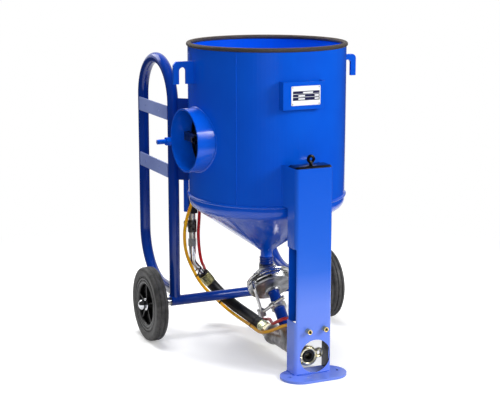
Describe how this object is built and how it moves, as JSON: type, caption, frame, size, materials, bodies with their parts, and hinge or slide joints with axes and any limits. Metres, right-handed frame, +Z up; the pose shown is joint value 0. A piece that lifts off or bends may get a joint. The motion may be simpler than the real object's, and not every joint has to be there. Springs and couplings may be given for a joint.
{
  "type": "portable abrasive blast pot",
  "caption": "Wheeled pressure blast pot: cone-bottom tank with pop-up filling valve, metering valve, air hoses, front leg and looped rear frame.",
  "frame": {"origin": "centre of the footprint on the floor, below the bounding box", "axes": "+X along the axle to the right seen from the leg, +Y from the leg to the wheels, +Z up"},
  "size_m": [0.894, 1.1174, 1.2165],
  "materials": {
    "blue_enamel": "gloss stove enamel",
    "black_trim": "satin edging",
    "seal_rubber": "matte",
    "valve_plug": "rubber faced",
    "steel": "brushed",
    "zinc_fasteners": "bright zinc",
    "rating_aluminium": "satin sheet",
    "black_cap": "gloss",
    "brass": "turned",
    "tyre": "solid rubber",
    "wheel_plastic": "moulded",
    "bush_plastic": "nylon",
    "chrome": "polished",
    "valve_aluminium": "as cast",
    "lever_steel": "zinc plated",
    "coupling_zinc": "yellow zinc plated",
    "manifold_black": "moulded",
    "hose_black": "smooth cover",
    "hose_yellow": "smooth cover",
    "hose_red": "smooth cover"
  },
  "bodies": {
    "base": {"tank_shell": "blue_enamel", "bottom_cone": "blue_enamel", "outlet_coupling": "blue_enamel", "handhole_nozzle": "blue_enamel", "lifting_lugs": "blue_enamel", "nameplate_bracket": "blue_enamel", "leg_channel": "blue_enamel", "leg_back_plate": "blue_enamel", "foot_plate": "blue_enamel", "left_loop": "blue_enamel", "right_loop": "blue_enamel", "rack_bars": "blue_enamel", "tank_brackets": "blue_enamel", "crossbar": "blue_enamel", "outlet_pipe": "blue_enamel", "air_pipe": "blue_enamel", "filling_head": "blue_enamel", "rim_trim": "black_trim", "filling_seal": "seal_rubber", "handhole_gasket": "seal_rubber", "valve_gasket": "seal_rubber", "coupling_gasket": "seal_rubber", "standpipe": "steel", "handhole_cover": "steel", "handhole_yoke": "steel", "axle": "steel", "handhole_studs": "zinc_fasteners", "handhole_nuts": "zinc_fasteners", "valve_bolts": "zinc_fasteners", "axle_washers": "zinc_fasteners", "plate_rivets": "zinc_fasteners", "stack_fittings": "zinc_fasteners", "rating_plate": "rating_aluminium", "leg_cap": "black_cap", "bulkhead_fittings": "brass", "left_hub_cap": "chrome", "right_hub_cap": "chrome", "hose_tail": "chrome", "valve_upper_body": "valve_aluminium", "valve_lower_body": "valve_aluminium", "mixing_wye": "valve_aluminium", "remote_valve": "valve_aluminium", "blast_coupling": "coupling_zinc", "hose_ends": "coupling_zinc", "air_manifold": "manifold_black", "zip_ties": "manifold_black", "pusher_hose": "hose_black", "yellow_hose": "hose_yellow", "red_hose": "hose_red"},
    "left_wheel": {"left_tyre": "tyre", "left_wheel": "wheel_plastic", "left_bush": "bush_plastic"},
    "right_wheel": {"right_tyre": "tyre", "right_wheel": "wheel_plastic", "right_bush": "bush_plastic"},
    "metering_lever": {"metering_disc": "lever_steel", "lever_bar": "lever_steel", "lever_rod": "lever_steel", "lever_collar": "lever_steel"},
    "pop_up_valve": {"popup_valve": "valve_plug"}
  },
  "joints": [
    {"name": "left_wheel_spin", "type": "hinge", "parent": "base", "child": "left_wheel", "pos_m": [-0.39, 0.18875, 0.15], "axis": [1, 0, 0], "continuous": true},
    {"name": "right_wheel_spin", "type": "hinge", "parent": "base", "child": "right_wheel", "pos_m": [0.39, 0.18875, 0.15], "axis": [1, 0, 0], "continuous": true},
    {"name": "metering_lever_turn", "type": "hinge", "parent": "base", "child": "metering_lever", "pos_m": [0, -0.10625, 0.26802], "axis": [0, -0.7071, -0.7071], "range_deg": [-45, 0]},
    {"name": "pop_up_valve_lift", "type": "slide", "parent": "base", "child": "pop_up_valve", "axis": [0, 0, 1], "range_m": [0, 0.028]}
  ]
}
